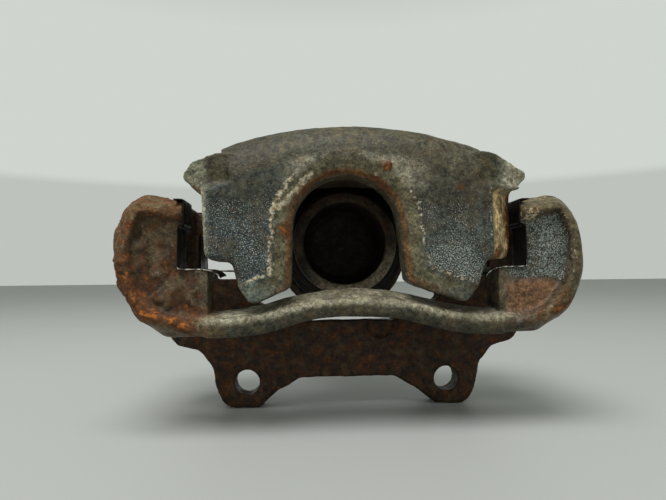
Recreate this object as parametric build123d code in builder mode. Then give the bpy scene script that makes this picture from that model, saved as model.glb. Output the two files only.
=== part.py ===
from build123d import *

import os
from math import cos, radians, sin

# Floating single-piston front brake caliper with its carrier, without pads.
#
# Frame: millimetres, +X to the right seen from outboard, +Y inboard, +Z up. The origin lies on the
# carrier's mounting face, halfway between its two knuckle bolt holes. The wheel axis runs along Y at
# X = 0, Z = WHEEL_Z. The housing stands where worn pads would leave it, with the piston far out.

os.makedirs("parts", exist_ok=True)

# Brake disc that the caliper straddles, and the wheel axis
WHEEL_Z = -46.0
DISC_RADIUS = 138.0

# Carrier casting
PLATE_THICKNESS = 12.5
BOLT_PITCH = 101.6
BOLT_HOLE_RADIUS = 6.25
OUTBOARD_FRONT_Y = -58.0
OUTBOARD_REAR_Y = -43.0
INBOARD_FRONT_Y = -14.0
INBOARD_REAR_Y = 8.0
BAR_FRONT_Y = -62.0
BAR_FRONT_HEIGHT = 7.0
BAR_MIDDLE_HEIGHT = 12.7
BAR_SIDE_HEIGHT = 10.0
BAR_EDGE_ROUND = 2.0
BAR_END_X = 62.0
BAR_END_Z = 27.9
EAR_TOP_Z = 85.5
EAR_BOTTOM_Z = 27.6
EAR_ROUND = 8.0

# Pad slots, lined with spring clips
SLOT_TOP_Z = 75.0
SLOT_BOTTOM_Z = 56.0
SLOT_BACK_X = 74.6
UPPER_LAND_X = 72.0
LAND_LENGTH = 4.0
LOWER_LAND_X = 61.7
INBOARD_STEP_X = 69.0
INBOARD_STEP_Z = 52.0
CLIP_THICKNESS = 0.6
CLIP_TONGUE = 5.0

# Guide pins, their bores, boots and bolts
GUIDE_X = 86.0
GUIDE_Z = 79.0
GUIDE_BOSS_RADIUS = 9.8
PIN_RADIUS = 5.0
RUNNING_CLEARANCE = 0.05
GUIDE_BORE_DEPTH = 57.0
PIN_TIP_Y = -34.0
PIN_COLLAR_RADIUS = 7.2
PIN_COLLAR_LENGTH = 1.5
PIN_HEX_FLATS = 15.0
PIN_HEX_LENGTH = 5.0
PIN_THREAD_DEPTH = 18.0
BOOT_SEAT_RADIUS = 8.0
BOOT_SEAT_DEPTH = 4.0
LUG_FRONT_Y = 28.0
LUG_THICKNESS = 9.0
LUG_RADIUS = 10.5
GUIDE_BOLT_RADIUS = 4.0
BOLT_HEX_FLATS = 13.0
BOLT_HEAD_LENGTH = 7.5
BOLT_FLANGE_RADIUS = 8.5
BOLT_FLANGE_THICKNESS = 1.6
BUSHING_LENGTH = 13.0
BUSHING_REAR_Y = PIN_TIP_Y + 2 + BUSHING_LENGTH
BUSHING_GROOVE_RADIUS = 3.8

# Housing: cylinder, bridge and fingers
BORE_X = -0.5
BORE_Z = 70.2
BORE_MOUTH_Y = 16.5
BORE_END_Y = 65.0
CYLINDER_END_Y = 73.5
CYLINDER_RADIUS = 38.0
CYLINDER_ROUND = 7.0
FINGER_FRONT_Y = -64.0
FINGER_REAR_Y = -48.0
BRIDGE_INNER_RADIUS = DISC_RADIUS + 6.0
BRIDGE_REAR_Y = 38.0
BRIDGE_OUTER_RADIUS = 166.2
BRIDGE_HALF_ANGLE = 20.5
SHOULDER_ROUND = 19.0
WINDOW_X = -3.7
WINDOW_RADIUS = 22.8
WINDOW_ARC_Z = 72.9
FINGER_EDGE_ROUND = 2.5
FINGER_SIDE_X = 70.6
FINGER_BEVEL = 13.5
FINGER_STEP_Z = 57.5
BEVEL_TOP_Z = 89.0
LEFT_WING = [(-50, 86.5), (-63.5, 86.8), (-73.2, 94.8), (-68, 101.7), (-58.4, 104.8), (-50, 106)]
RIGHT_WING = [(50, 88), (69.2, 89.4), (75.6, 95.5), (68.2, 101), (60.5, 105.5), (50, 107)]
WING_DEPTH = 25.0
WING_ROUND = 2.5

# Piston, seal and dust boot
PISTON_RADIUS = 27.0
PISTON_FRONT_Y = -11.0
PISTON_LENGTH = 49.0
PISTON_WALL = 5.6
PISTON_FLOOR = 9.0
SEAL_GROOVE_RADIUS = 30.5
SEAL_FRONT_Y = 28.0
SEAL_WIDTH = 3.5
DUST_SEAT_RADIUS = 33.5
DUST_SEAT_DEPTH = 4.5
BOOT_RELIEF_RADIUS = 35.0
RUBBER_WALL = 1.1

# Hydraulic ports at the rear of the cylinder
PORT_X = 10.0
PORT_Z = 86.0
PORT_FACE_Y = 81.0
PORT_RADIUS = 4.6
PORT_BOSS_RADIUS = 9.0
BLEEDER_Y = 62.0
BLEEDER_BOSS_RADIUS = 8.0
BLEEDER_BOSS_TOP_Z = 116.0
BLEEDER_SEAT_Z = 103.0
BLEEDER_RADIUS = 4.0
BLEEDER_HEX_FLATS = 10.0
BLEED_PASSAGE_RADIUS = 1.5
NIPPLE_RADIUS = 3.2
NIPPLE_TOP_Z = 130.0

BORE_AXIS = Axis((BORE_X, 0, BORE_Z), (0, 1, 0))
WHEEL_AXIS = Axis((0, 0, WHEEL_Z), (0, 1, 0))


def front_plane(y):
    """Plane at depth y with local x along +X and local y along +Z; extruding grows outboard, to -Y."""
    return Plane.XZ.offset(-y)


def axial_plane(x, z):
    """Plane through an axis parallel to Y, with local x along +Y and local y the radius, upward."""
    return Plane(origin=(x, 0, z), x_dir=(0, 1, 0), z_dir=(1, 0, 0))


def upright_plane(x, y):
    """Plane through a vertical axis, with local x the radius, along +X, and local y along +Z."""
    return Plane(origin=(x, y, 0), x_dir=(1, 0, 0), z_dir=(0, -1, 0))


def write(part, label):
    part.label = label
    export_step(part, f"parts/{label}.step")


# ---------------------------------------------------------------- carrier
EAR_RIM = [
    (82, 87.2), (91, 88.4), (96.6, 84.6), (101, 77.5), (102.9, 67), (102.2, 55),
    (98.4, 44), (91.2, 34.8), (83, 29.2), (76, EAR_BOTTOM_Z),
]
INBOARD_RIM = [(82.5, 88.6), (90.5, 87), (95.6, 80), (96.5, 69), (96, 50)]


def bar_profile(path, position, front_y, front_height, rear_height):
    """Section of the tie bar: a low front face under a top face that rises toward the disc."""
    plane = Plane(origin=path @ position, x_dir=(0, 1, 0), z_dir=path % position)
    with BuildSketch(plane) as section:
        with BuildLine():
            Polyline(
                (front_y, 0), (OUTBOARD_REAR_Y - 1, 0), (OUTBOARD_REAR_Y - 1, rear_height),
                (front_y, front_height), close=True,
            )
        make_face()
        fillet(section.vertices(), radius=BAR_EDGE_ROUND * front_height / BAR_FRONT_HEIGHT)
    return section.sketch


with BuildPart() as carrier:
    # Outboard ear, with the pad slot cut into its inner side
    with BuildSketch(front_plane(OUTBOARD_REAR_Y)):
        with BuildLine():
            rim = Spline((UPPER_LAND_X + LAND_LENGTH, EAR_TOP_Z), *EAR_RIM, tangents=[(1, 0), (-1, 0)])
            Polyline(
                rim @ 1, (LOWER_LAND_X, EAR_BOTTOM_Z), (LOWER_LAND_X, SLOT_BOTTOM_Z),
                (SLOT_BACK_X, SLOT_BOTTOM_Z), (SLOT_BACK_X, SLOT_TOP_Z),
                (UPPER_LAND_X, SLOT_TOP_Z), (UPPER_LAND_X, EAR_TOP_Z), rim @ 0,
            )
        make_face()
    extrude(amount=OUTBOARD_REAR_Y - OUTBOARD_FRONT_Y)
    front_edges = carrier.faces().sort_by(Axis.Y)[0].edges()
    flat_edges = front_edges.filter_by(Axis.X).sort_by(Axis.Z)
    fillet([front_edges.sort_by(SortBy.LENGTH)[-1], flat_edges[0], flat_edges[-1]], radius=EAR_ROUND)

    # Half of the wavy tie bar that joins the outboard ears below the fingers, fading into the ear
    with BuildLine() as bar_path:
        Spline(
            (0, 0, 35.9), (20, 0, 34.4), (34, 0, 30.6), (47, 0, 28.5), (BAR_END_X, 0, BAR_END_Z),
            tangents=[(1, 0, 0), (1, 0, 0)],
        )
    middle_section = bar_profile(bar_path.line, 0, BAR_FRONT_Y, BAR_FRONT_HEIGHT, BAR_MIDDLE_HEIGHT)
    side_section = bar_profile(bar_path.line, 1, BAR_FRONT_Y, BAR_FRONT_HEIGHT, BAR_SIDE_HEIGHT)
    sweep([middle_section.face(), side_section.face()], path=bar_path.line, multisection=True)
    with BuildLine() as bar_end:
        Spline(
            (BAR_END_X, 0, BAR_END_Z), (79, 0, 29.6), (91, 0, 37.5), tangents=[(1, 0, 0), (0.7, 0, 0.7)],
        )
    end_section = bar_profile(bar_end.line, 1, OUTBOARD_FRONT_Y + 6, 4, 5.5)
    loft([side_section.face(), end_section.face()])

    # Arm over the edge of the disc, and the boss that carries the guide pin through it
    with BuildSketch(front_plane(INBOARD_FRONT_Y + 1)):
        with BuildLine():
            Polyline(
                (76, 66), (76, 86.8), (80, 88.2), (GUIDE_X, 88.8), (93.5, 85), (98, GUIDE_Z),
                (99, 66), close=True,
            )
        make_face()
        with Locations((0, WHEEL_Z)):
            Circle(DISC_RADIUS + 5, mode=Mode.SUBTRACT)
        with Locations((GUIDE_X, GUIDE_Z)):
            Circle(GUIDE_BOSS_RADIUS)
    extrude(amount=INBOARD_FRONT_Y - OUTBOARD_REAR_Y + 2)

    # Inboard ear, whose pad slot has a lower step toward the piston
    with BuildSketch(front_plane(INBOARD_REAR_Y)):
        with BuildLine():
            rim = Spline((UPPER_LAND_X + LAND_LENGTH, EAR_TOP_Z), *INBOARD_RIM, tangents=[(1, 0), (-0.1, -1)])
            Polyline(
                rim @ 1, (94, 41), (50, 41), (51, INBOARD_STEP_Z), (INBOARD_STEP_X, INBOARD_STEP_Z),
                (INBOARD_STEP_X, SLOT_BOTTOM_Z), (SLOT_BACK_X, SLOT_BOTTOM_Z), (SLOT_BACK_X, SLOT_TOP_Z),
                (UPPER_LAND_X, SLOT_TOP_Z), (UPPER_LAND_X, EAR_TOP_Z), rim @ 0,
            )
        make_face()
        with Locations((GUIDE_X, GUIDE_Z)):
            Circle(GUIDE_BOSS_RADIUS + 0.6)
    extrude(amount=INBOARD_REAR_Y - INBOARD_FRONT_Y)

    # Half of the mounting plate, with a lug around its knuckle bolt
    with BuildSketch(front_plane(0)):
        with BuildLine():
            edge = FilletPolyline(
                (0, 2), (24, 2), (36, -5), (44.5, -12.3), (61.5, -12.3), (66, -3), (68, 8),
                (75, 16.5), (86, 19), (93, 29), (96, 50),
                radius=[8, 10, 5, 7, 15, 8, 6, 6, 12],
            )
            Polyline(edge @ 1, (51, 50), (47.5, 41), (24, 30), (0, 30), edge @ 0)
        make_face()
        with Locations((BOLT_PITCH / 2, 0)):
            Circle(BOLT_HOLE_RADIUS, mode=Mode.SUBTRACT)
    extrude(amount=PLATE_THICKNESS)

    # Blind guide bore, with a seat for the boot at its mouth
    with BuildSketch(front_plane(INBOARD_REAR_Y)):
        with Locations((GUIDE_X, GUIDE_Z)):
            Circle(PIN_RADIUS + RUNNING_CLEARANCE)
    extrude(amount=GUIDE_BORE_DEPTH, mode=Mode.SUBTRACT)
    with BuildSketch(front_plane(INBOARD_REAR_Y)):
        with Locations((GUIDE_X, GUIDE_Z)):
            Circle(BOOT_SEAT_RADIUS)
    extrude(amount=BOOT_SEAT_DEPTH, mode=Mode.SUBTRACT)

    mirror(about=Plane.YZ)

    # Shallow round pocket at the top of the plate, on its disc side
    with BuildSketch(front_plane(-PLATE_THICKNESS + 2.5)):
        with Locations((17, 28)):
            Circle(7)
    extrude(amount=4, mode=Mode.SUBTRACT)

write(carrier.part, "carrier")


# ---------------------------------------------------------------- pad clips
def pad_clip(side, front_y, rear_y, tongue_tip):
    """Spring-steel strip that wraps the upper land, lines the slot and ends in a tongue."""
    half = CLIP_THICKNESS / 2
    with BuildPart() as clip:
        with BuildSketch(front_plane(rear_y)):
            with BuildLine():
                FilletPolyline(
                    (side * (UPPER_LAND_X + LAND_LENGTH), EAR_TOP_Z + half),
                    (side * (UPPER_LAND_X - half), EAR_TOP_Z + half),
                    (side * (UPPER_LAND_X - half), SLOT_TOP_Z - half),
                    (side * (SLOT_BACK_X - half), SLOT_TOP_Z - half),
                    (side * (SLOT_BACK_X - half), SLOT_BOTTOM_Z + half),
                    (side * (LOWER_LAND_X - 1), SLOT_BOTTOM_Z + half),
                    (side * (LOWER_LAND_X - CLIP_TONGUE), tongue_tip),
                    radius=[half, half, half, half, 1.5],
                )
            trace(line_width=CLIP_THICKNESS)
        extrude(amount=rear_y - front_y)
    return clip.part


for side, side_name in ((-1, "left"), (1, "right")):
    outboard_clip = pad_clip(side, OUTBOARD_FRONT_Y - 0.5, OUTBOARD_REAR_Y - 1, SLOT_BOTTOM_Z - 1.2)
    write(outboard_clip, f"pad_clip_outboard_{side_name}")
    inboard_clip = pad_clip(side, INBOARD_FRONT_Y + 1, INBOARD_REAR_Y - 1, SLOT_BOTTOM_Z + 0.9)
    write(inboard_clip, f"pad_clip_inboard_{side_name}")


# ---------------------------------------------------------------- housing
bridge_start = radians(BRIDGE_HALF_ANGLE)
bridge_plane = Plane(
    origin=(0, 0, WHEEL_Z), x_dir=(0, 1, 0), z_dir=(cos(bridge_start), 0, sin(bridge_start)),
)
bore_section = axial_plane(BORE_X, BORE_Z)

with BuildPart() as caliper_housing:
    # Finger plate: two fingers of unequal width with a round-topped window between them
    with BuildSketch(front_plane(FINGER_REAR_Y)):
        with BuildLine():
            right = FilletPolyline(
                (WINDOW_X + WINDOW_RADIUS, WINDOW_ARC_Z), (21.6, 50), (46.4, 41), (51.6, 48),
                (55.6, 59.6), (FINGER_SIDE_X - 1, 59.8), (FINGER_SIDE_X, 90),
                radius=[4, 4, 6, 2.5, 5],
            )
            left = FilletPolyline(
                (WINDOW_X - WINDOW_RADIUS, WINDOW_ARC_Z), (-27.2, 48.2), (-43.6, 41), (-48.6, 48),
                (-51.8, 59), (-62.4, 60), (-64.2, 90),
                radius=[4, 4, 6, 2.5, 4],
            )
            ThreePointArc(left @ 0, (WINDOW_X, WINDOW_ARC_Z + WINDOW_RADIUS), right @ 0)
            Polyline(left @ 1, (0, 100), right @ 1)
        make_face()
    extrude(amount=FINGER_REAR_Y - FINGER_FRONT_Y)
    finger_edges = caliper_housing.faces().sort_by(Axis.Y)[0].edges()
    fillet(finger_edges.filter_by(lambda edge: edge.center().Z < 92), radius=FINGER_EDGE_ROUND)

    # Broad bevel along the right finger's outer side
    with BuildSketch(Plane.XY.offset(BEVEL_TOP_Z)):
        with BuildLine():
            Polyline(
                (FINGER_SIDE_X - FINGER_BEVEL, FINGER_FRONT_Y),
                (FINGER_SIDE_X, FINGER_FRONT_Y + FINGER_BEVEL),
                (FINGER_SIDE_X + 1, FINGER_FRONT_Y + FINGER_BEVEL),
                (FINGER_SIDE_X + 1, FINGER_FRONT_Y - 1),
                (FINGER_SIDE_X - FINGER_BEVEL, FINGER_FRONT_Y - 1),
                close=True,
            )
        make_face()
    extrude(amount=FINGER_STEP_Z - BEVEL_TOP_Z, mode=Mode.SUBTRACT)

    # Bridge over the disc: an arc about the wheel axis, rounded down into the finger face
    with BuildSketch(bridge_plane):
        with BuildLine():
            shoulder = CenterArc(
                (FINGER_FRONT_Y + SHOULDER_ROUND, BRIDGE_OUTER_RADIUS - SHOULDER_ROUND),
                SHOULDER_ROUND, start_angle=90, arc_size=90,
            )
            Polyline(
                shoulder @ 1, (FINGER_FRONT_Y, BRIDGE_INNER_RADIUS - 1),
                (FINGER_REAR_Y, BRIDGE_INNER_RADIUS - 1), (FINGER_REAR_Y, BRIDGE_INNER_RADIUS),
                (BRIDGE_REAR_Y, BRIDGE_INNER_RADIUS), (BRIDGE_REAR_Y, BRIDGE_OUTER_RADIUS - 12),
                (BRIDGE_REAR_Y - 20, BRIDGE_OUTER_RADIUS - 3),
                shoulder @ 0,
            )
        make_face()
    revolve(axis=WHEEL_AXIS, revolution_arc=2 * BRIDGE_HALF_ANGLE)

    # Wings at both ends of the bridge, which shield the pad ears
    for outline in (LEFT_WING, RIGHT_WING):
        with BuildSketch(front_plane(FINGER_FRONT_Y + 3 + WING_DEPTH)):
            with BuildLine():
                FilletPolyline(*outline, radius=WING_ROUND, close=True)
            make_face()
        extrude(amount=WING_DEPTH)

    # Cylinder, with a rounded closed end
    with BuildSketch(bore_section) as cylinder_section:
        with BuildLine():
            Polyline(
                (BORE_MOUTH_Y, 0), (BORE_MOUTH_Y, CYLINDER_RADIUS), (CYLINDER_END_Y, CYLINDER_RADIUS),
                (CYLINDER_END_Y, 0), close=True,
            )
        make_face()
        fillet(cylinder_section.vertices().sort_by_distance((BORE_MOUTH_Y, 0))[-1], radius=CYLINDER_ROUND)
    revolve(axis=BORE_AXIS)

    # Cross arm with a lug for each guide pin
    with BuildSketch(front_plane(LUG_FRONT_Y + LUG_THICKNESS)):
        with BuildLine():
            Polyline(
                (-GUIDE_X, GUIDE_Z + LUG_RADIUS), (-58, 99), (58, 99), (GUIDE_X, GUIDE_Z + LUG_RADIUS),
                (GUIDE_X, GUIDE_Z - LUG_RADIUS), (44, 58), (-44, 58), (-GUIDE_X, GUIDE_Z - LUG_RADIUS),
                close=True,
            )
        make_face()
        with Locations((-GUIDE_X, GUIDE_Z), (GUIDE_X, GUIDE_Z)):
            Circle(LUG_RADIUS)
    extrude(amount=LUG_THICKNESS)

    # Bosses for the brake line and the bleed screw
    with BuildSketch(front_plane(PORT_FACE_Y)):
        with Locations((PORT_X, PORT_Z)):
            Circle(PORT_BOSS_RADIUS)
    extrude(amount=PORT_FACE_Y - BORE_END_Y - 1)
    with BuildSketch(Plane.XY.offset(BLEEDER_BOSS_TOP_Z)):
        with Locations((BORE_X, BLEEDER_Y)):
            Circle(BLEEDER_BOSS_RADIUS)
    extrude(amount=-(BLEEDER_BOSS_TOP_Z - BORE_Z - PISTON_RADIUS - 2))

    # Bore with the seal groove, the dust boot seat and room for the boot under the bridge
    for radius, rear_y, length in (
        (PISTON_RADIUS + RUNNING_CLEARANCE, BORE_END_Y, BORE_END_Y - BORE_MOUTH_Y),
        (SEAL_GROOVE_RADIUS, SEAL_FRONT_Y + SEAL_WIDTH, SEAL_WIDTH),
        (DUST_SEAT_RADIUS, BORE_MOUTH_Y + DUST_SEAT_DEPTH, DUST_SEAT_DEPTH),
        (BOOT_RELIEF_RADIUS, BORE_MOUTH_Y, BORE_MOUTH_Y - INBOARD_FRONT_Y + 2),
    ):
        with BuildSketch(front_plane(rear_y)):
            with Locations((BORE_X, BORE_Z)):
                Circle(radius)
        extrude(amount=length, mode=Mode.SUBTRACT)

    # Brake line port, guide bolt holes and the bleed passage with its seat
    with BuildSketch(front_plane(PORT_FACE_Y)):
        with Locations((PORT_X, PORT_Z)):
            Circle(PORT_RADIUS)
    extrude(amount=PORT_FACE_Y - BORE_END_Y + 1, mode=Mode.SUBTRACT)
    with BuildSketch(front_plane(LUG_FRONT_Y + LUG_THICKNESS)):
        with Locations((-GUIDE_X, GUIDE_Z), (GUIDE_X, GUIDE_Z)):
            Circle(GUIDE_BOLT_RADIUS + 0.25)
    extrude(amount=LUG_THICKNESS, mode=Mode.SUBTRACT)
    with BuildSketch(Plane.XY.offset(BLEEDER_BOSS_TOP_Z)):
        with Locations((BORE_X, BLEEDER_Y)):
            Circle(BLEEDER_RADIUS + RUNNING_CLEARANCE)
    extrude(amount=BLEEDER_SEAT_Z - BLEEDER_BOSS_TOP_Z, mode=Mode.SUBTRACT)
    with BuildSketch(Plane.XY.offset(BLEEDER_SEAT_Z)):
        with Locations((BORE_X, BLEEDER_Y)):
            Circle(BLEED_PASSAGE_RADIUS)
    extrude(amount=BORE_Z + PISTON_RADIUS - 3 - BLEEDER_SEAT_Z, mode=Mode.SUBTRACT)

write(caliper_housing.part, "caliper_housing")


# ---------------------------------------------------------------- piston, seal, dust boot
PISTON_REAR_Y = PISTON_FRONT_Y + PISTON_LENGTH
GROOVE_FRONT_Y = PISTON_FRONT_Y + 4
GROOVE_REAR_Y = PISTON_FRONT_Y + 7
GROOVE_RADIUS = PISTON_RADIUS - 1.6

with BuildPart() as piston:
    with BuildSketch(bore_section) as cup:
        with BuildLine():
            Polyline(
                (PISTON_REAR_Y, 0), (PISTON_REAR_Y, PISTON_RADIUS), (GROOVE_REAR_Y, PISTON_RADIUS),
                (GROOVE_REAR_Y, GROOVE_RADIUS), (GROOVE_FRONT_Y, GROOVE_RADIUS),
                (GROOVE_FRONT_Y, PISTON_RADIUS), (PISTON_FRONT_Y, PISTON_RADIUS),
                (PISTON_FRONT_Y, PISTON_RADIUS - PISTON_WALL),
                (PISTON_REAR_Y - PISTON_FLOOR, PISTON_RADIUS - PISTON_WALL),
                (PISTON_REAR_Y - PISTON_FLOOR, 0), close=True,
            )
        make_face()
        floor_corner = (PISTON_REAR_Y - PISTON_FLOOR, PISTON_RADIUS - PISTON_WALL)
        fillet(cup.vertices().sort_by_distance(floor_corner)[0], radius=6)
    revolve(axis=BORE_AXIS)
    rims = piston.edges().filter_by(GeomType.CIRCLE).group_by(Axis.Y)
    chamfer(rims[0], length=0.8)
    chamfer(rims[-1], length=1.2)
write(piston.part, "piston")

with BuildPart() as piston_seal:
    with BuildSketch(front_plane(SEAL_FRONT_Y + SEAL_WIDTH)):
        with Locations((BORE_X, BORE_Z)):
            Circle(SEAL_GROOVE_RADIUS - RUNNING_CLEARANCE)
            Circle(PISTON_RADIUS + RUNNING_CLEARANCE, mode=Mode.SUBTRACT)
    extrude(amount=SEAL_WIDTH)
write(piston_seal.part, "piston_seal")

# Bellows from the seat at the bore's mouth to the groove near the piston's rim
with BuildPart() as piston_dust_boot:
    with BuildSketch(bore_section):
        with BuildLine():
            Polyline(
                (BORE_MOUTH_Y + 4.2, 31.2), (16, 31.2), (13.4, 28.4), (9.8, 32.4), (6.2, 28.4),
                (2.6, 32.4), (-1, 28.4), (GROOVE_REAR_Y + 0.6, 30.2), (GROOVE_FRONT_Y + 1.5, 29),
                (GROOVE_FRONT_Y + 1.5, GROOVE_RADIUS + 0.1),
            )
        trace(line_width=RUBBER_WALL)
    revolve(axis=BORE_AXIS)
write(piston_dust_boot.part, "piston_dust_boot")

with BuildPart() as dust_boot_ring:
    with BuildSketch(front_plane(BORE_MOUTH_Y + DUST_SEAT_DEPTH)):
        with Locations((BORE_X, BORE_Z)):
            Circle(DUST_SEAT_RADIUS - RUNNING_CLEARANCE)
            Circle(DUST_SEAT_RADIUS - 1.6, mode=Mode.SUBTRACT)
    extrude(amount=DUST_SEAT_DEPTH - 0.4)
write(dust_boot_ring.part, "dust_boot_ring")


# ---------------------------------------------------------------- guide pins, bolts and boots
def guide_pin(x, tip_groove):
    """Slide pin with a hexagonal head against the lug, tapped at that end for the guide bolt."""
    with BuildPart() as pin:
        with BuildSketch(front_plane(LUG_FRONT_Y)):
            with Locations((x, GUIDE_Z)):
                RegularPolygon(PIN_HEX_FLATS / 2, 6, major_radius=False)
        extrude(amount=PIN_HEX_LENGTH)
        with BuildSketch(front_plane(LUG_FRONT_Y - PIN_HEX_LENGTH)):
            with Locations((x, GUIDE_Z)):
                Circle(PIN_COLLAR_RADIUS)
        extrude(amount=PIN_COLLAR_LENGTH)
        shank_y = LUG_FRONT_Y - PIN_HEX_LENGTH - PIN_COLLAR_LENGTH
        with BuildSketch(front_plane(shank_y)):
            with Locations((x, GUIDE_Z)):
                Circle(PIN_RADIUS)
        extrude(amount=shank_y - PIN_TIP_Y)
        chamfer(pin.faces().sort_by(Axis.Y)[0].edges(), length=1)
        if tip_groove:
            with BuildSketch(front_plane(BUSHING_REAR_Y)):
                with Locations((x, GUIDE_Z)):
                    Circle(PIN_RADIUS + 1)
                    Circle(BUSHING_GROOVE_RADIUS, mode=Mode.SUBTRACT)
            extrude(amount=BUSHING_LENGTH, mode=Mode.SUBTRACT)
        with BuildSketch(front_plane(LUG_FRONT_Y)):
            with Locations((x, GUIDE_Z)):
                Circle(GUIDE_BOLT_RADIUS)
        extrude(amount=PIN_THREAD_DEPTH, mode=Mode.SUBTRACT)
    return pin.part


def guide_bolt(x):
    """Flanged hexagon bolt that clamps the lug onto the guide pin."""
    seat_y = LUG_FRONT_Y + LUG_THICKNESS
    with BuildPart() as bolt:
        with BuildSketch(front_plane(seat_y + BOLT_HEAD_LENGTH)):
            with Locations((x, GUIDE_Z)):
                RegularPolygon(BOLT_HEX_FLATS / 2, 6, major_radius=False)
        extrude(amount=BOLT_HEAD_LENGTH - BOLT_FLANGE_THICKNESS)
        chamfer(bolt.faces().sort_by(Axis.Y)[-1].edges(), length=0.6)
        with BuildSketch(front_plane(seat_y + BOLT_FLANGE_THICKNESS)):
            with Locations((x, GUIDE_Z)):
                Circle(BOLT_FLANGE_RADIUS)
        extrude(amount=BOLT_FLANGE_THICKNESS)
        with BuildSketch(front_plane(seat_y)):
            with Locations((x, GUIDE_Z)):
                Circle(GUIDE_BOLT_RADIUS - RUNNING_CLEARANCE)
        extrude(amount=LUG_THICKNESS + PIN_THREAD_DEPTH - 3)
        chamfer(bolt.faces().sort_by(Axis.Y)[0].edges(), length=0.8)
    return bolt.part


def guide_pin_boot(x):
    """Bellows between the seat in the carrier and the guide pin's collar."""
    seat_y = INBOARD_REAR_Y - BOOT_SEAT_DEPTH
    with BuildPart() as boot:
        with BuildSketch(axial_plane(x, GUIDE_Z)):
            with BuildLine():
                Polyline(
                    (seat_y + 0.1, 7.2), (INBOARD_REAR_Y + 1, 7.2), (INBOARD_REAR_Y + 2, 8.4),
                    (12, 6.4), (14, 8.4), (16, 6.4), (18, 8.2), (20.4, 6.2), (20.4, PIN_RADIUS + 0.3),
                )
            trace(line_width=RUBBER_WALL)
        revolve(axis=Axis((x, 0, GUIDE_Z), (0, 1, 0)))
    return boot.part


for side, side_name in ((-1, "left"), (1, "right")):
    write(guide_pin(side * GUIDE_X, tip_groove=side < 0), f"guide_pin_{side_name}")
    write(guide_bolt(side * GUIDE_X), f"guide_bolt_{side_name}")
    write(guide_pin_boot(side * GUIDE_X), f"guide_pin_boot_{side_name}")

# Rubber sleeve in the groove of the left guide pin
with BuildPart() as guide_pin_bushing:
    with BuildSketch(front_plane(BUSHING_REAR_Y)):
        with Locations((-GUIDE_X, GUIDE_Z)):
            Circle(PIN_RADIUS - 0.02)
            Circle(BUSHING_GROOVE_RADIUS + 0.02, mode=Mode.SUBTRACT)
    extrude(amount=BUSHING_LENGTH)
write(guide_pin_bushing.part, "guide_pin_bushing")


# ---------------------------------------------------------------- bleed screw and its cap
BLEEDER_AXIS = Axis((BORE_X, BLEEDER_Y, 0), (0, 0, 1))
HEX_BOTTOM_Z = BLEEDER_BOSS_TOP_Z + 1
HEX_TOP_Z = HEX_BOTTOM_Z + 6

with BuildPart() as bleed_screw:
    with BuildSketch(upright_plane(BORE_X, BLEEDER_Y)):
        with BuildLine():
            Polyline(
                (0, BLEEDER_SEAT_Z), (1.2, BLEEDER_SEAT_Z), (BLEEDER_RADIUS, BLEEDER_SEAT_Z + 3.2),
                (BLEEDER_RADIUS, HEX_TOP_Z), (2.5, HEX_TOP_Z), (2.5, HEX_TOP_Z + 2.5),
                (NIPPLE_RADIUS, HEX_TOP_Z + 3.2), (2.6, NIPPLE_TOP_Z), (0, NIPPLE_TOP_Z), close=True,
            )
        make_face()
    revolve(axis=BLEEDER_AXIS)
    with BuildSketch(Plane.XY.offset(HEX_BOTTOM_Z)):
        with Locations((BORE_X, BLEEDER_Y)):
            RegularPolygon(BLEEDER_HEX_FLATS / 2, 6, major_radius=False)
    extrude(amount=HEX_TOP_Z - HEX_BOTTOM_Z)
    with BuildSketch(Plane.XY.offset(NIPPLE_TOP_Z)):
        with Locations((BORE_X, BLEEDER_Y)):
            Circle(0.9)
    extrude(amount=-(NIPPLE_TOP_Z - BLEEDER_SEAT_Z - 5), mode=Mode.SUBTRACT)
write(bleed_screw.part, "bleed_screw")

with BuildPart() as bleed_screw_cap:
    with BuildSketch(upright_plane(BORE_X, BLEEDER_Y)):
        with BuildLine():
            FilletPolyline(
                (NIPPLE_RADIUS + 0.1, HEX_TOP_Z + 0.3), (5, HEX_TOP_Z + 0.3), (4.7, NIPPLE_TOP_Z + 2.2),
                (0, NIPPLE_TOP_Z + 2.2),
                radius=[0.4, 1.6],
            )
            Polyline(
                (0, NIPPLE_TOP_Z + 2.2), (0, NIPPLE_TOP_Z + 0.4), (NIPPLE_RADIUS + 0.1, NIPPLE_TOP_Z + 0.4),
                (NIPPLE_RADIUS + 0.1, HEX_TOP_Z + 0.3),
            )
        make_face()
    revolve(axis=BLEEDER_AXIS)
write(bleed_screw_cap.part, "bleed_screw_cap")
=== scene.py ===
"""Used floating brake caliper on a pale floor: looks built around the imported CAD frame.

Lengths in the shape code are millimetres in the shared frame; MM turns them into Blender metres.
"""

import math

import bmesh
import bpy
import numpy as np
from mathutils import Matrix, Vector


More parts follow.
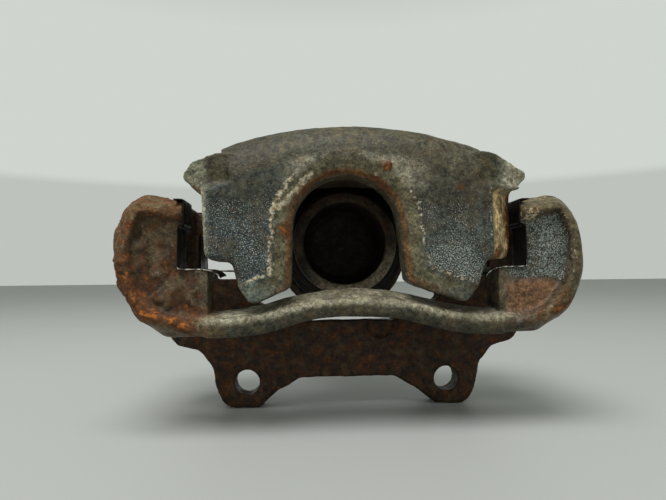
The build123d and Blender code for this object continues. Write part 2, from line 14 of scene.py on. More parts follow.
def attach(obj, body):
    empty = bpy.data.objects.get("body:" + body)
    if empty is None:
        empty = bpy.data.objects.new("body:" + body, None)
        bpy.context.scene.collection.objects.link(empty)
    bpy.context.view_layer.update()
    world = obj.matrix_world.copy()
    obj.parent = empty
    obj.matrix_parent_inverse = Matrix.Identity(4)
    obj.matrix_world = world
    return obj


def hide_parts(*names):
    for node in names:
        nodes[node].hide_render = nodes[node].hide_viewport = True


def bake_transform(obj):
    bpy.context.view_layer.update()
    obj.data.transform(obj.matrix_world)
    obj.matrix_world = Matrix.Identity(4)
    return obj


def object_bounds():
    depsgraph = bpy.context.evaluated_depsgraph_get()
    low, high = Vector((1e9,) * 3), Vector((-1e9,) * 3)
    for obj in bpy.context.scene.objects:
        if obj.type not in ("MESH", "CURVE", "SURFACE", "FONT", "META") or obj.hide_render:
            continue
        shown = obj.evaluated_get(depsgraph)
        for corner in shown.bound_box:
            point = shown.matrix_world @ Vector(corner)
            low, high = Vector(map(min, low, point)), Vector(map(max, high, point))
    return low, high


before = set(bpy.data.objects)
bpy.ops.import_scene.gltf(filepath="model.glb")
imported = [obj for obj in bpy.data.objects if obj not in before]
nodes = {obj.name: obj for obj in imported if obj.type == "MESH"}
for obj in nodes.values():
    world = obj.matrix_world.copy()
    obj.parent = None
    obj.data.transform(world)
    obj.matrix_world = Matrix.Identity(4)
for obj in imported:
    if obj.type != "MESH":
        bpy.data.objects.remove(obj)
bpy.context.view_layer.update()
MM = 0.001

# Places taken over from the CAD
BORE_X, BORE_Z = -0.5, 70.2
GUIDE_X, GUIDE_Z = 86.0, 79.0
WHEEL_Z = -46.0
PISTON_FRONT_Y, PISTON_REAR_Y = -11.0, 38.0
WINDOW_X, WINDOW_Z, WINDOW_RADIUS = -3.7, 72.9, 22.8
WINDOW_ARC = [
    (WINDOW_X - WINDOW_RADIUS * math.cos(a), WINDOW_Z + WINDOW_RADIUS * math.sin(a))
    for a in np.linspace(0, math.pi, 25)
]
WINDOW_EDGE = [(-43.6, 41), (-27.2, 48.2), *WINDOW_ARC, (21.6, 50), (46.4, 41)]
EAR_RIM = [
    (76, 85.5), (82, 87.2), (91, 88.4), (96.6, 84.6), (101, 77.5), (102.9, 67), (102.2, 55),
    (98.4, 44), (91.2, 34.8), (83, 29.2), (76, 27.6),
]
# Rust on the housing's front: middle, half widths and amount
RUST_SPOTS = (
    (-29.5, 72, 2.6, 5.0, 0.9), (-27.5, 58, 2.0, 8.0, 0.5), (13.4, 98.7, 2.4, 2.4, 0.9),
    (44.5, 90, 2.4, 1.2, 0.6), (62, 62, 5.0, 2.6, 0.9), (58, 54, 3.0, 5.0, 0.5),
)
# The tie bar's middle line: distances from the centre and heights there
BAR_PATH = ((0, 20, 34, 47, 62, 79, 91), (35.9, 34.4, 30.6, 28.5, 27.9, 29.6, 37.5))

CAMERA_PLACE = (-21.5, -269, 52.6)
CAMERA_YAW, CAMERA_PITCH, CAMERA_ROLL = 3.26, 3.09, 0.6  # degrees
CAMERA_LENS = 27.03
FLOOR_SIZE = 12  # metres
FLOOR_COLOUR = (162, 164, 161)
# The surroundings from below upward: upward part of the view's direction, and colour
BACKDROP = (
    (0.168, (190, 194, 189)), (0.182, (207, 213, 206)), (0.45, (207, 213, 206)), (0.75, (150, 154, 150)),
)


# ---------------------------------------------------------------- numbers over points
def fade(value, start, end):
    """Smooth step: 0 at start and before it, 1 at end and beyond it; end may be below start."""
    t = np.clip((value - start) / (end - start), 0, 1)
    return t * t * (3 - 2 * t)


def clouds(points, size, seed=0):
    """Smooth noise of -1 to 1 whose features are about size millimetres across."""
    place = points / size + seed * 13.7
    cell = np.floor(place).astype(np.int64)
    inside = place - cell
    inside = inside * inside * (3 - 2 * inside)
    total = np.zeros(len(points))
    for corner in ((i, j, k) for i in (0, 1) for j in (0, 1) for k in (0, 1)):
        at = cell + corner
        code = at[:, 0] * 374761393 + at[:, 1] * 668265263 + at[:, 2] * 1442695041 + seed * 97
        code = ((code ^ (code >> 13)) * 1274126177) & 0xFFFFFFFF
        code = (code ^ (code >> 16)) & 0xFFFF
        total += np.prod(np.where(corner, inside, 1 - inside), axis=1) * code / 65535
    return total * 2 - 1


def rough(points, size, seed=0, octaves=3):
    """Sum of ever finer clouds, each half as strong as the one before."""
    return sum(clouds(points, size / 2 ** n, seed + n) / 2 ** n for n in range(octaves))


def distance_to_path(flat, path):
    """Distance of points in a plane from a chain of straight lines."""
    best = np.full(len(flat), 1e9)
    for start, end in zip(path, path[1:]):
        start, step = np.array(start, float), np.subtract(end, start)
        along = np.clip((flat - start) @ step / (step @ step), 0, 1)
        best = np.minimum(best, np.linalg.norm(flat - start - along[:, None] * step, axis=1))
    return best


def linear(red, green, blue):
    """Linear colour from display values of 0 to 255."""
    values = np.array((red, green, blue)) / 255
    return np.where(values < 0.04045, values / 12.92, ((values + 0.055) / 1.055) ** 2.4)


def srgb(red, green, blue):
    return (*linear(red, green, blue), 1.0)


# ---------------------------------------------------------------- meshes
def link(name, mesh):
    piece = bpy.data.objects.new(name, mesh)
    bpy.context.scene.collection.objects.link(piece)
    return piece


def read_points(mesh):
    """Points in millimetres and their normals."""
    points = np.empty(len(mesh.vertices) * 3, np.float32)
    normals = np.empty(len(mesh.vertices) * 3, np.float32)
    mesh.vertices.foreach_get("co", points)
    mesh.vertex_normals.foreach_get("vector", normals)
    return points.reshape(-1, 3).astype(float) / MM, normals.reshape(-1, 3).astype(float)


def write_points(mesh, points):
    mesh.vertices.foreach_set("co", (points * MM).astype(np.float32).ravel())
    mesh.update()
    mesh.shade_smooth()


def recast(node, name, voxel, softening):
    """Copy of a CAD node as one even skin, its edges rounded by a few rounds of smoothing."""
    piece = link(name, nodes[node].data.copy())
    skin = piece.modifiers.new("skin", "REMESH")
    skin.mode = "VOXEL"
    skin.voxel_size = voxel * MM
    soften = piece.modifiers.new("soften", "SMOOTH")
    soften.factor = 0.5
    soften.iterations = softening
    whole = piece.evaluated_get(bpy.context.evaluated_depsgraph_get())
    mesh = bpy.data.meshes.new_from_object(whole)
    piece.modifiers.clear()
    piece.data = mesh
    mesh.materials.clear()
    mesh.shade_smooth()
    return piece


def from_grid(name, rings, close_ring, close_chain=False):
    """Mesh through rings of points, neighbours joined by four-sided faces."""
    count = len(rings[0])
    faces = []
    for i in range(len(rings) if close_chain else len(rings) - 1):
        for j in range(count if close_ring else count - 1):
            a, b = i * count, (i + 1) % len(rings) * count
            k = (j + 1) % count
            faces.append((a + j, a + k, b + k, b + j))
    mesh = bpy.data.meshes.new(name)
    mesh.from_pydata([tuple(np.array(p) * MM) for ring in rings for p in ring], [], faces)
    shape = bmesh.new()
    shape.from_mesh(mesh)
    open_edges = [edge for edge in shape.edges if edge.is_boundary]
    if open_edges:
        bmesh.ops.holes_fill(shape, edges=open_edges)
    bmesh.ops.recalc_face_normals(shape, faces=shape.faces)
    shape.to_mesh(mesh)
    shape.free()
    mesh.shade_smooth()
    return link(name, mesh)


def turned(name, profile, x, z, steps=96):
    """Body turned about a line parallel to Y from a closed profile of (y, radius)."""
    rings = []
    for angle in np.linspace(0, 2 * math.pi, steps, endpoint=False):
        c, s = math.cos(angle), math.sin(angle)
        rings.append([(x + r * c, y, z + r * s) for y, r in profile])
    return from_grid(name, rings, close_ring=True, close_chain=True)


def even_path(points, spacing):
    """Points at even spacing along a chain of straight lines."""
    points = np.array(points, float)
    length = np.concatenate(([0], np.cumsum(np.linalg.norm(np.diff(points, axis=0), axis=1))))
    places = np.linspace(0, length[-1], max(2, int(length[-1] / spacing) + 1))
    return np.stack([np.interp(places, length, points[:, k]) for k in range(points.shape[1])], axis=1)


def rounded(path, rounds=2):
    """Chain of lines with its corners cut again and again, ends kept."""
    path = np.array(path, float)
    for _ in range(rounds):
        near = path[:-1] * 0.75 + path[1:] * 0.25
        far = path[:-1] * 0.25 + path[1:] * 0.75
        inner = np.stack([near, far], axis=1).reshape(-1, path.shape[1])
        path = np.concatenate((path[:1], inner[1:-1], path[-1:]))
    return path


def thick_profile(path, thickness):
    """Closed outline of a line given some thickness."""
    along = np.gradient(path, axis=0)
    side = np.stack([-along[:, 1], along[:, 0]], axis=1)
    side /= np.linalg.norm(side, axis=1)[:, None]
    return np.concatenate((path + side * thickness / 2, (path - side * thickness / 2)[::-1]))


def paint(mesh, tint, **values):
    """Stores a linear colour per point as "tint", and further numbers under their own names."""
    colour = mesh.attributes.new("tint", "FLOAT_COLOR", "POINT")
    colour.data.foreach_set("color", np.column_stack((tint, np.ones(len(tint)))).astype(np.float32).ravel())
    for name, value in values.items():
        layer = mesh.attributes.new(name, "FLOAT", "POINT")
        layer.data.foreach_set("value", np.clip(value, 0, 1).astype(np.float32))


class Tint:
    """Colour per point, painted over in layers."""

    def __init__(self, points, base):
        self.colour = np.tile(linear(*base), (len(points), 1))

    def over(self, mask, colour):
        mask = np.clip(mask, 0, 1)[:, None]
        self.colour = self.colour * (1 - mask) + linear(*colour) * mask


# ---------------------------------------------------------------- materials
class Surface:
    """Node material laid out in the object's own space, with sizes in millimetres."""

    def __init__(self, name, roughness=0.6, metallic=0.0, shine=0.2):
        self.material = bpy.data.materials.new(name)
        self.material.use_nodes = True
        self.tree = self.material.node_tree
        self.shader = self.tree.nodes["Principled BSDF"]
        self.shader.inputs["Metallic"].default_value = metallic
        self.shader.inputs["Roughness"].default_value = roughness
        self.shader.inputs["Specular IOR Level"].default_value = shine
        self.place = self.node("ShaderNodeTexCoord").outputs["Object"]

    def node(self, kind, **settings):
        node = self.tree.nodes.new(kind)
        for key, value in settings.items():
            setattr(node, key, value)
        return node

    def feed(self, socket, value):
        if isinstance(value, bpy.types.NodeSocket):
            self.tree.links.new(value, socket)
        else:
            socket.default_value = value

    def noise(self, size, detail=3.0, seed=0.0):
        node = self.node("ShaderNodeTexNoise", noise_dimensions="4D")
        self.feed(node.inputs["Vector"], self.place)
        node.inputs["W"].default_value = seed
        node.inputs["Scale"].default_value = 1 / (size * MM)
        node.inputs["Detail"].default_value = detail
        node.inputs["Roughness"].default_value = 0.62
        return node.outputs["Fac"]

    def span(self, value, low, high, first=0.0, last=1.0):
        node = self.node("ShaderNodeMapRange", interpolation_type="SMOOTHSTEP")
        self.feed(node.inputs["Value"], value)
        for socket, number in (("From Min", low), ("From Max", high), ("To Min", first), ("To Max", last)):
            node.inputs[socket].default_value = number
        return node.outputs["Result"]

    def math(self, operation, first, second=0.0):
        node = self.node("ShaderNodeMath", operation=operation)
        self.feed(node.inputs[0], first)
        self.feed(node.inputs[1], second)
        return node.outputs[0]

    def mix(self, factor, first, second):
        node = self.node("ShaderNodeMix", data_type="RGBA")
        self.feed(node.inputs[0], factor)
        self.feed(node.inputs[6], first)
        self.feed(node.inputs[7], second)
        return node.outputs[2]

    def scaled(self, colour, factor):
        node = self.node("ShaderNodeVectorMath", operation="SCALE")
        self.feed(node.inputs[0], colour)
        self.feed(node.inputs["Scale"], factor)
        return node.outputs[0]

    def stored(self, name, output="Fac"):
        return self.node("ShaderNodeAttribute", attribute_name=name).outputs[output]

    def finish(self, colour, roughness=None, height=None, depth=0.2, strength=0.6):
        """Connects the results; depth is the bump's height in millimetres."""
        self.feed(self.shader.inputs["Base Color"], colour)
        if roughness is not None:
            self.feed(self.shader.inputs["Roughness"], roughness)
        if height is not None:
            bump = self.node("ShaderNodeBump")
            bump.inputs["Strength"].default_value = strength
            bump.inputs["Distance"].default_value = depth * MM
            self.feed(bump.inputs["Height"], height)
            self.feed(self.shader.inputs["Normal"], bump.outputs["Normal"])
        return self.material


def cast_iron(name, seed):
    """Old cast iron: painted-on tints, grey grains, rust in blotches, cream crust and dark pits."""
    s = Surface(name)
    wide = s.noise(9, 4, seed)
    fine = s.noise(1.3, 4, seed + 3)
    grain = s.noise(0.5, 1, seed + 5)
    speck = s.stored("speck")
    mottle = s.noise(2.6, 10, seed + 15)
    colour = s.scaled(s.stored("tint", "Color"), s.span(wide, 0.3, 0.7, 0.84, 1.4))
    colour = s.scaled(colour, s.span(mottle, 0.3, 0.7, 0.55, 1.55))
    colour = s.scaled(colour, s.span(fine, 0.28, 0.72, 0.5, 1.6))
    colour = s.scaled(colour, s.span(grain, 0.3, 0.7, 0.7, 1.3))
    colour = s.scaled(colour, s.span(speck, 0.0, 1.0, 1.0, 0.62))
    stain = s.math("MULTIPLY", s.span(s.noise(6, 7, seed + 19), 0.46, 0.64), 0.45)
    colour = s.mix(stain, colour, s.scaled(srgb(84, 70, 46)[:3], s.span(mottle, 0.3, 0.7, 0.5, 1.5)))
    lit = s.span(s.math("ADD", grain, s.math("MULTIPLY", speck, 0.27)), 0.75, 0.88)
    colour = s.mix(lit, colour, srgb(146, 154, 148))
    blotch = s.math("ADD", s.noise(4.5, 9, seed + 7), s.math("MULTIPLY", s.stored("rust"), 0.42))
    brown = s.mix(s.span(s.noise(1.6, 6, seed + 8), 0.3, 0.7), srgb(58, 38, 26), srgb(104, 66, 38))
    bright = s.math("MULTIPLY", s.span(s.noise(2.8, 6, seed + 9), 0.5, 0.64), s.span(blotch, 0.72, 1.0))
    orange = s.mix(bright, brown, srgb(182, 108, 46))
    rusty = s.span(blotch, 0.6, 0.88)
    colour = s.mix(rusty, colour, orange)
    chalk = s.math("ADD", s.noise(1.4, 6, seed + 11), s.math("MULTIPLY", s.stored("crust"), 0.4))
    chalky = s.span(chalk, 0.66, 0.84)
    cream = s.mix(s.span(s.noise(2.0, 5, seed + 17), 0.36, 0.6), srgb(132, 104, 66), srgb(198, 190, 164))
    colour = s.mix(chalky, colour, cream)
    pit = s.span(s.noise(2.4, 3, seed + 13), 0.28, 0.4, 0.4, 1.0)
    colour = s.scaled(colour, pit)
    height = s.math("ADD", fine, s.math("MULTIPLY", grain, 0.4))
    height = s.math("ADD", height, s.math("MULTIPLY", chalky, 0.6))
    height = s.math("ADD", height, s.math("MULTIPLY", blotch, 0.8))
    gloss = s.span(s.math("ADD", wide, rusty), 0.3, 1.2, 0.42, 0.85)
    return s.finish(colour, gloss, height, depth=0.5, strength=0.8)


# ---------------------------------------------------------------- castings
def dress(piece, node, body, material):
    piece.data.materials.append(material)
    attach(piece, body)
    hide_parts(node)


def build_housing():
    piece = recast("caliper_housing", "housing_casting", 1.15, 3)
    points, normals = read_points(piece.data)
    x, y, z = points.T
    flat = points[:, (0, 2)]
    facing = fade(-normals[:, 1], 0.35, 0.8)
    from_window = distance_to_path(flat, WINDOW_EDGE)
    height_over_wheel = np.hypot(x, z - WHEEL_Z)

    # The window's edge is eased back into a broad bevel, with a crusty line along its outer side
    above = fade(z, 43, 52)
    near_front = np.clip((-54 - y) / 10, 0, 1)
    ease = 3.4 * np.clip(1 - from_window / 9, 0, 1) ** 1.6 * above
    line = np.exp(-((from_window - 8.8 - 1.1 * clouds(points, 7, 4)) / 1.5) ** 2) * facing * above
    line *= fade(y, -56, -60)
    moved = points.copy()
    moved[:, 1] += ease * near_front
    skin = 0.22 * rough(points, 9, 1, 2) + 0.13 * rough(points, 2.6, 5, 2)
    skin += 0.35 * line * (0.6 + 0.6 * clouds(points, 2.4, 9))
    wing = fade(np.abs(x), 60, 66) * fade(z, 84, 88) * fade(y, -25, -34)
    skin += wing * (0.3 * clouds(points, 6, 12) - 0.1)
    skin += 1.1 * np.exp(-(((x - 13.4) / 2) ** 2 + ((z - 98.7) / 2.2) ** 2)) * near_front * facing
    bored = (np.hypot(x - BORE_X, z - BORE_Z) < 36) & (y > -20) & (y < 66)
    skin[bored] = 0
    moved += normals * skin[:, None]
    write_points(piece.data, moved)

    left = fade(x, WINDOW_X + 4, WINDOW_X - 4)
    front = facing * fade(y, -52, -58)
    band = fade(height_over_wheel, 147, 152) * fade(y, 20, 0)
    tint = Tint(points, (76, 70, 56))
    tint.over(front * left, (57, 64, 63))
    tint.over(front * (1 - left), (66, 70, 64))
    tint.over(front * fade(z, 74, 84) * left, (54, 57, 50))
    tint.over(front * fade(z, 74, 84) * (1 - left), (58, 56, 46))
    tint.over(front * fade(z, 86, 93) * fade(np.abs(x), 34, 22), (116, 112, 96))
    tint.over(front * left * fade(z, 54, 47), (96, 106, 98))
    tint.over(front * fade(from_window, 8.5, 6) * above, (88, 84, 64))
    tint.over(front * fade(from_window, 3.2, 1.5) * above, (98, 66, 38))
    tint.over(band, (58, 56, 41))
    tint.over(band * fade(x, -20, -45), (53, 49, 35))
    tint.over(wing * fade(x, 0, -1), (108, 108, 90))
    tint.over(wing * fade(x, 0, 1), (112, 110, 94))
    side_band = fade(x, 57.5, 60) * fade(z, 90, 86) * fade(y, -46, -50) * fade(z, 56, 60)
    tint.over(side_band, (200, 174, 126))
    outer_left = np.exp(-((x + 62.5 + (z - 60) * 0.03) / 1.6) ** 2) * fade(y, -56, -60) * fade(z, 92, 86)
    tint.over(outer_left * 0.9, (150, 158, 140))
    # Painted shade: faces turned downward, from the fingers back, are drawn darker (52, 46, 38).
    tint.over(fade(y, -45, -30) * fade(normals[:, 2], 0.0, -0.6), (52, 46, 38))

    rust = 0.08 + 0.3 * fade(y, -40, 10)
    rust += 0.8 * side_band * fade(x, 66, 70) + 0.35 * side_band
    rust += 0.75 * np.exp(-((from_window - 1.2) / 1.3) ** 2) * fade(z, 82, 90) * near_front
    for spot_x, spot_z, wide, tall, amount in RUST_SPOTS:
        rust += amount * np.exp(-(((x - spot_x) / wide) ** 2 + ((z - spot_z) / tall) ** 2)) * near_front
    rust += 0.7 * wing * fade(z, 94, 88) * fade(x, 0, -1) + 0.5 * wing * fade(x, 74, 80)
    crust = (0.75 - 0.2 * (1 - left)) * line * fade(z, 100, 90)
    left_streak = np.exp(-(((x + 33 - (z - 80) * 0.9) / 2.2) ** 2)) * front
    crust += 0.9 * left_streak * fade(z, 78, 82) * fade(z, 100, 94)
    right_streak = np.exp(-((x - 57.3) / 0.9) ** 2) * front
    crust += 0.35 * wing + 0.5 * right_streak * fade(z, 58, 62) * fade(z, 92, 88)
    crust += 0.6 * outer_left
    crust += 0.6 * np.exp(-(((x - 9.5) / 2.2) ** 2 + ((z - 96.5) / 2.2) ** 2)) * front
    speck = 0.75 * front * left + front * (1 - left) * (0.7 + 0.3 * fade(z, 72, 60))
    speck *= fade(z, 94, 80) * fade(from_window, 7.5, 10) * (0.9 + 0.35 * clouds(points, 9, 33))
    paint(piece.data, tint.colour, rust=rust, crust=crust, speck=speck)
    dress(piece, "caliper_housing", "housing", cast_iron("housing_iron", 0.0))


def build_carrier():
    piece = recast("carrier", "carrier_casting", 1.0, 2)
    points, normals = read_points(piece.data)
    x, y, z = points.T
    wide = np.abs(x)
    flat = np.column_stack((wide, z))
    facing = fade(-normals[:, 1], 0.35, 0.8)
    upward = fade(normals[:, 2], 0.25, 0.7)
    outboard = fade(y, -38, -42)
    ear = outboard * fade(wide, 62, 68) * fade(z, 30, 40)
    left_ear = ear * fade(x, 0, -1)
    right_ear = ear * fade(x, 0, 1)
    from_rim = distance_to_path(flat, EAR_RIM)
    bar_z = np.interp(wide, *BAR_PATH)
    bar = outboard * fade(wide, 80, 66) * fade(z, bar_z + 15, bar_z + 12)

    # Flaked rust on the left ear, a rough plate, and rims raised around the sunk middles of both ears
    scale = np.where(clouds(points, 4.6, 3) + 0.5 * clouds(points, 2.2, 4) > -0.05, 0.35, -0.3)
    flakes = 0.6 * scale + 0.45 * rough(points, 6.5, 7, 3)
    skin = 0.16 * rough(points, 8, 11, 2) + 0.1 * rough(points, 2.4, 15, 2)
    skin += left_ear * flakes * 1.9
    skin += bar * 0.3 * clouds(points, 14, 21) + 0.8 * bar * upward * fade(wide, 20, 36)
    skin += 1.3 * right_ear * fade(from_rim, 5, 1) * fade(z, 72, 55)
    plate = fade(y, -20, -12) * fade(z, 60, 50)
    skin += plate * 0.25 * rough(points, 5, 23, 3)
    rim_width = 9.2 + 0.8 * clouds(points, 11, 30) - 1.5 * fade(z, 74, 84)
    in_rim = fade(from_rim - rim_width, 1.1, -1.1)
    raised = fade(wide, 60, 76) * outboard * facing * in_rim * fade(from_rim, 0.5, 5)
    recess = ear * facing * (1 - in_rim) * fade(wide, 66, 74)
    moved = points + normals * skin[:, None]
    moved[:, 1] += 1.8 * recess - 3.4 * raised
    # Pin bores, bolt holes and slot walls keep their places, so everything still fits
    kept = (np.hypot(wide - GUIDE_X, z - GUIDE_Z) < 8.6) & (y > -52)
    kept |= (np.hypot(wide - 50.8, z) < 6.9)
    slot_wall = (wide > 60) & (wide < 75.2) & (z > 55) & (z < 86.5) & (facing < 0.5)
    moved[kept] = points[kept]
    moved[slot_wall] = points[slot_wall] + 0.15 * (moved[slot_wall] - points[slot_wall])
    write_points(piece.data, moved)

    ridge = np.exp(-((z - bar_z - 6.6) / 1.3) ** 2) * fade(y, -57, -60) * fade(wide, 74, 66)
    tint = Tint(points, (48, 34, 24))
    # The plate's dark colour is partly its dark rust and partly painted shade.
    tint.over(plate, (38, 24, 16))
    tint.over(outboard, (78, 70, 55))
    # Painted light and shade on the tie bar: its upward faces are drawn much lighter than its other faces,
    # lightest towards the left end and a little darker towards the right.
    tint.over(bar * (1 - upward), (50, 48, 38))
    tint.over(bar * upward, (112, 107, 90))
    tint.over(bar * upward * fade(x, 25, 45), (106, 101, 88))
    tint.over(bar * upward * fade(x, -25, -45), (150, 146, 124))
    tint.over(bar * fade(x, -52, -66), (92, 72, 51))
    tint.over(left_ear, (80, 67, 50))
    tint.over(left_ear * (scale < 0), (52, 42, 33))
    tint.over(left_ear * in_rim * fade(z, 56, 72), (88, 74, 48))
    tint.over(left_ear * in_rim * fade(z, 56, 45), (98, 70, 46))
    tint.over(right_ear, (72, 74, 68))
    stained = right_ear * fade(z + 4 * clouds(points, 9, 41), 55, 48) * fade(wide, 92, 86)
    tint.over(stained, (104, 76, 55))
    tint.over(right_ear * in_rim, (82, 74, 52))
    # Painted shade: a dark line on both ears where the raised rim meets the sunk middle.
    tint.over(ear * np.exp(-((from_rim - rim_width) / 0.9) ** 2), (54, 46, 34))
    # Painted highlight: a lighter line along the tie bar's top front edge.
    tint.over(ridge * 0.8, (122, 118, 98))
    rust = 0.24 + 0.22 * left_ear + 0.2 * left_ear * in_rim + 0.16 * plate
    rust += 0.45 * left_ear * in_rim * fade(z, 66, 45) + 0.35 * bar * fade(x, -55, -70)
    rust += 0.45 * right_ear * fade(from_rim, 12, 8) * fade(z, 52, 44)
    patch = np.exp(-(((x - 76) / 4) ** 2 + ((z - 78.5) / 4.5) ** 2)) * right_ear
    rust += 0.6 * patch
    rust -= 0.2 * bar * fade(wide, 66, 55) + 0.2 * right_ear
    # Crust for the carrier's iron; the share along the tie bar's ridge adds cream to that painted
    # highlight.
    crust = 0.08 + 0.2 * ridge + 0.5 * patch
    crust += 0.3 * right_ear * np.exp(-((from_rim - 8) / 1) ** 2)
    speck = right_ear * facing * (1 - in_rim) * (1 - stained) * (0.95 + 0.3 * clouds(points, 9, 35))
    paint(piece.data, tint.colour, rust=rust, crust=crust * outboard, speck=speck)
    dress(piece, "carrier", "carrier", cast_iron("carrier_iron", 20.0))


# ---------------------------------------------------------------- piston, boots and rings
def build_piston():
    outline = [
        (PISTON_REAR_Y, 0.01), (PISTON_REAR_Y, 26.0), (PISTON_REAR_Y - 0.9, 26.98), (-4.2, 26.98),
        (-4.2, 25.4), (-7.0, 25.4), (-7.0, 26.98), (PISTON_FRONT_Y + 1.0, 26.98), (PISTON_FRONT_Y, 26.0),
        (PISTON_FRONT_Y, 22.6), (PISTON_FRONT_Y + 1.2, 21.4), (23, 21.4), (26.5, 20), (28.6, 17),
        (29, 13), (29, 0.01),
    ]
    piece = turned("piston_cup", even_path(outline, 0.7), BORE_X, BORE_Z, 180)
    points, normals = read_points(piece.data)
    radius = np.hypot(points[:, 0] - BORE_X, points[:, 2] - BORE_Z)
    y = points[:, 1]
    inside = fade(radius, 22.6, 21.6) * fade(y, 31, 30)
    rim = fade(y, -9, -10.2) * fade(radius, 20, 22)
    worn = -0.18 * np.abs(rough(points, 4, 3, 3)) * (inside * fade(radius, 0.5, 3) + rim)
    write_points(piece.data, points + normals * worn[:, None])
    tint = Tint(points, (118, 116, 110))
    tint.over(fade(y, -2, -6), (46, 40, 34))
    tint.over(inside, (34, 29, 26))
    # The rim is drawn lighter than the cup, partly its worn grey-brown and partly a painted highlight that
    # stays lightest at the bottom; its upper half and left side get painted shade.
    tint.over(rim, (122, 112, 94))
    tint.over(rim * fade(points[:, 2], 58, 72), (50, 42, 33))
    tint.over(rim * fade(points[:, 0], BORE_X - 6, BORE_X - 22), (34, 28, 23))
    rust = 0.15 + 0.22 * rim * fade(points[:, 2], 60, 90)
    paint(piece.data, tint.colour, rust=rust, crust=0 * rust, speck=0 * rust)
    dress(piece, "piston", "piston", cast_iron("piston_steel", 40.0))


def bellows(name, ends, folds, mean, swing, wall, x, z, steps):
    """Folded rubber sleeve; ends hold the plain paths of (y, radius) before and after the folds."""
    first, last = ends
    t = np.linspace(0, 1, folds * 14 + 1)
    y = first[-1][0] + (last[0][0] - first[-1][0]) * t
    radius = mean + swing * np.cos(2 * math.pi * folds * t + math.pi)
    path = rounded([*first, *np.column_stack((y, radius)), *last], 1)
    return turned(name, thick_profile(even_path(path, 0.35), wall), x, z, steps)


def rubber(name, tone, dust):
    s = Surface(name)
    wide = s.noise(7, 4, 2.0)
    colour = s.mix(s.span(s.math("ADD", wide, s.noise(1.2, 3, 4.0)), 0.85, 1.3), srgb(*tone), srgb(*dust))
    gloss = s.span(wide, 0.3, 0.7, 0.42, 0.72)
    return s.finish(colour, gloss, s.noise(0.8, 3, 6.0), depth=0.12, strength=0.4)


def build_boots(material):
    boot = bellows(
        "piston_bellows", ([(20.6, 31.2), (17.2, 31.2)], [(-3.2, 29.4), (-5.4, 29.2), (-5.6, 25.6)]),
        5, 30.4, 2.0, 1.1, BORE_X, BORE_Z, 128,
    )
    boot.data.materials.append(material)
    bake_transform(boot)
    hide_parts("piston_dust_boot")
    for side, name in ((-1, "left"), (1, "right")):
        x = side * GUIDE_X
        boot = bellows(
            f"guide_bellows_{name}", ([(4.2, 7.2), (9.0, 7.2)], [(19.4, 6.2), (20.4, 6.0), (20.5, 5.3)]),
            3, 7.4, 1.1, 1.0, x, GUIDE_Z, 64,
        )
        boot.data.materials.append(material)
        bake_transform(boot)
        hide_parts(f"guide_pin_boot_{name}")


# ---------------------------------------------------------------- pad clips
def clip_steel():
    s = Surface("clip_steel", metallic=0.3, shine=0.3)
    grime = s.noise(4, 5, 3.0)
    colour = s.mix(s.span(grime, 0.4, 0.62), srgb(9, 8, 7), srgb(24, 20, 16))
    bare = s.span(s.math("ADD", s.noise(1.4, 4, 8.0), s.stored("worn")), 0.75, 1.0)
    colour = s.mix(bare, colour, srgb(196, 188, 172))
    return s.finish(colour, s.span(grime, 0.35, 0.65, 0.3, 0.6), s.noise(1.0, 3, 5.0), depth=0.08)


def build_clips():
    material = clip_steel()
    for side, side_name in ((-1, "left"), (1, "right")):
        for row, front, rear, tip in (("outboard", -58.5, -44.0, 54.2), ("inboard", -13.0, 7.0, 56.6)):
            corners = [
                (76.0, 85.8), (71.7, 85.8), (71.7, 75.0), (74.3, 74.7), (74.3, 56.3), (60.7, 56.3),
                (58.6, 55.6 if row == "outboard" else 56.5), (56.7, tip), (56.3, tip - 0.7),
            ]
            path = []
            for k, corner in enumerate(corners):
                if k in (0, len(corners) - 1):
                    path.append(corner)
                    continue
                here = np.array(corner, float)
                for other in (corners[k - 1], corners[k + 1]):
                    step = np.subtract(other, here)
                    path.append(tuple(here + step * min(0.5, 0.7 / np.linalg.norm(step))))
            line = even_path(rounded(path, 1), 0.5)
            rings = []
            for t in np.linspace(0, 1, 17):
                y = front + (rear - front) * t
                tail = np.clip((65 - line[:, 0]) / 8, 0, 1)
                bent = line.copy()
                bent[:, 1] -= tail * (0.9 * (1 - t) ** 2 if row == "outboard" else 0.5 * t)
                outline = thick_profile(bent, 0.55 if 0 < t < 1 else 0.4)
                rings.append([(side * px, y, pz) for px, pz in outline])
            piece = from_grid(f"clip_{row}_{side_name}", rings, close_ring=True)
            points, _ = read_points(piece.data)
            worn = 0.35 * fade(points[:, 1], front + 1.2, front) * fade(points[:, 2], 58, 57)
            worn += 0.15 * fade(points[:, 2], 85, 85.6)
            paint(piece.data, np.zeros((len(points), 3)), worn=worn)
            dress(piece, f"pad_clip_{row}_{side_name}", "carrier", material)


# ---------------------------------------------------------------- pins, bolts, bleed screw
def plain_steel(name, light, dark, rust, seed):
    """Zinc-plated or bright steel gone dull, with some rust."""
    s = Surface(name, metallic=0.55)
    wide = s.noise(3.5, 5, seed)
    colour = s.mix(s.span(wide, 0.35, 0.65), srgb(*dark), srgb(*light))
    rusty = s.span(s.noise(2.2, 6, seed + 2), 0.72 - rust, 0.82 - rust)
    colour = s.mix(rusty, colour, srgb(112, 66, 34))
    return s.finish(colour, s.span(wide, 0.3, 0.7, 0.32, 0.6), s.noise(0.7, 3, seed + 4), depth=0.1)


def build_hardware():
    pin = plain_steel("pin_steel", (150, 146, 136), (92, 86, 76), 0.1, 1.0)
    bolt = plain_steel("bolt_steel", (140, 132, 112), (84, 76, 60), 0.2, 5.0)
    parts = [
        ("dust_boot_ring", "housing", "pin_steel", pin),
        ("bleed_screw", "bleeder", "bolt_steel", bolt),
    ]
    for side in ("left", "right"):
        parts.append((f"guide_pin_{side}", "housing", "pin_steel", pin))
        parts.append((f"guide_bolt_{side}", "housing", "bolt_steel", bolt))
    for node, body, slot, material in parts:
        dress(recast(node, f"{node}_worn", 0.36, 2), node, body, material)


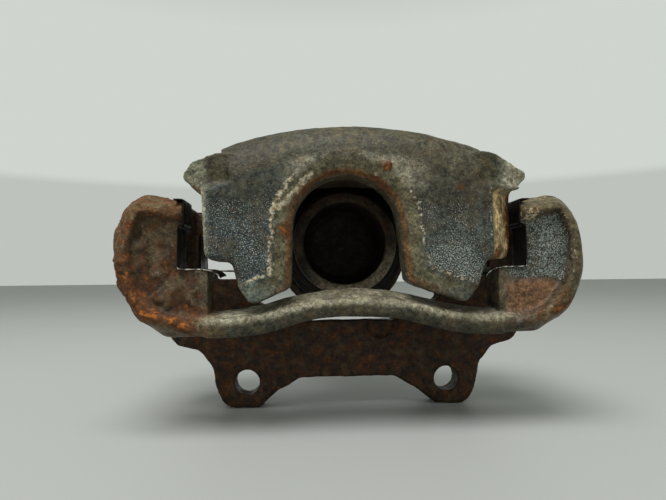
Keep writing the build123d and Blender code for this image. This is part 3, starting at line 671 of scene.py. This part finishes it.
def build_rubber_parts():
    seal = rubber("seal_rubber", (24, 23, 22), (48, 44, 38))
    boot = rubber("boot_rubber", (14, 13, 12), (44, 37, 28))
    build_boots(boot)
    dress(recast("bleed_screw_cap", "bleed_screw_cap_soft", 0.36, 3), "bleed_screw_cap", "bleeder_cap",
          boot)
    dress(recast("piston_seal", "piston_seal_soft", 0.5, 1), "piston_seal", "housing", seal)
    dress(recast("guide_pin_bushing", "guide_pin_bushing_soft", 0.3, 1), "guide_pin_bushing", "housing",
          seal)


build_housing()
build_carrier()
build_piston()
build_clips()
build_hardware()
build_rubber_parts()


# ---------------------------------------------------------------- camera
def point_camera(location, yaw, pitch, roll, lens):
    """Camera at location, turned from +Y by yaw to the right, pitch upward and roll clockwise."""
    forward = Vector((math.sin(yaw) * math.cos(pitch), math.cos(yaw) * math.cos(pitch), math.sin(pitch)))
    right = forward.cross(Vector((0, 0, 1))).normalized()
    up = right.cross(forward)
    tilted_right = right * math.cos(roll) - up * math.sin(roll)
    tilted_up = tilted_right.cross(forward)
    data = bpy.data.cameras.new("camera")
    data.lens = lens
    data.sensor_width = 36
    data.clip_start = 0.01
    camera = bpy.data.objects.new("camera", data)
    bpy.context.scene.collection.objects.link(camera)
    axes = Matrix((tilted_right, tilted_up, -forward)).transposed()
    camera.matrix_world = Matrix.Translation(location) @ axes.to_4x4()
    bpy.context.scene.camera = camera


point_camera(
    Vector(CAMERA_PLACE) * MM, math.radians(CAMERA_YAW), math.radians(CAMERA_PITCH),
    math.radians(CAMERA_ROLL), CAMERA_LENS,
)


# ---------------------------------------------------------------- floor and light
def add_floor():
    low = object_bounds()[0]
    bpy.ops.mesh.primitive_plane_add(size=FLOOR_SIZE, location=(0, 0, low.z))
    floor = bpy.context.object
    floor.name = "floor"
    material = bpy.data.materials.new("floor")
    material.use_nodes = True
    shader = material.node_tree.nodes["Principled BSDF"]
    shader.inputs["Base Color"].default_value = srgb(*FLOOR_COLOUR)
    shader.inputs["Roughness"].default_value = 0.55
    floor.data.materials.append(material)


def add_softbox(name, location, target, size, power):
    data = bpy.data.lights.new(name, "AREA")
    data.shape = "SQUARE"
    data.size = size
    data.energy = power
    light = bpy.data.objects.new(name, data)
    bpy.context.scene.collection.objects.link(light)
    light.location = location
    light.rotation_euler = (Vector(target) - Vector(location)).to_track_quat("-Z", "Y").to_euler()


def add_light():
    world = bpy.data.worlds.new("studio")
    world.use_nodes = True
    tree = world.node_tree
    split = tree.nodes.new("ShaderNodeSeparateXYZ")
    tree.links.new(tree.nodes.new("ShaderNodeTexCoord").outputs["Generated"], split.inputs[0])
    ramp = tree.nodes.new("ShaderNodeValToRGB")
    stops = ramp.color_ramp.elements
    for k, (position, colour) in enumerate(BACKDROP):
        stop = stops[k] if k < 2 else stops.new(position)
        stop.position = position
        stop.color = srgb(*colour)
    tree.links.new(split.outputs["Z"], ramp.inputs["Fac"])
    tree.links.new(ramp.outputs["Color"], tree.nodes["Background"].inputs["Color"])
    tree.nodes["Background"].inputs["Strength"].default_value = 1.0
    bpy.context.scene.world = world
    bpy.context.scene.view_settings.view_transform = "Standard"
    add_softbox("key", (-0.2, -0.45, 1.25), (0, 0, 0.05), 0.8, 20.0)


add_floor()
add_light()
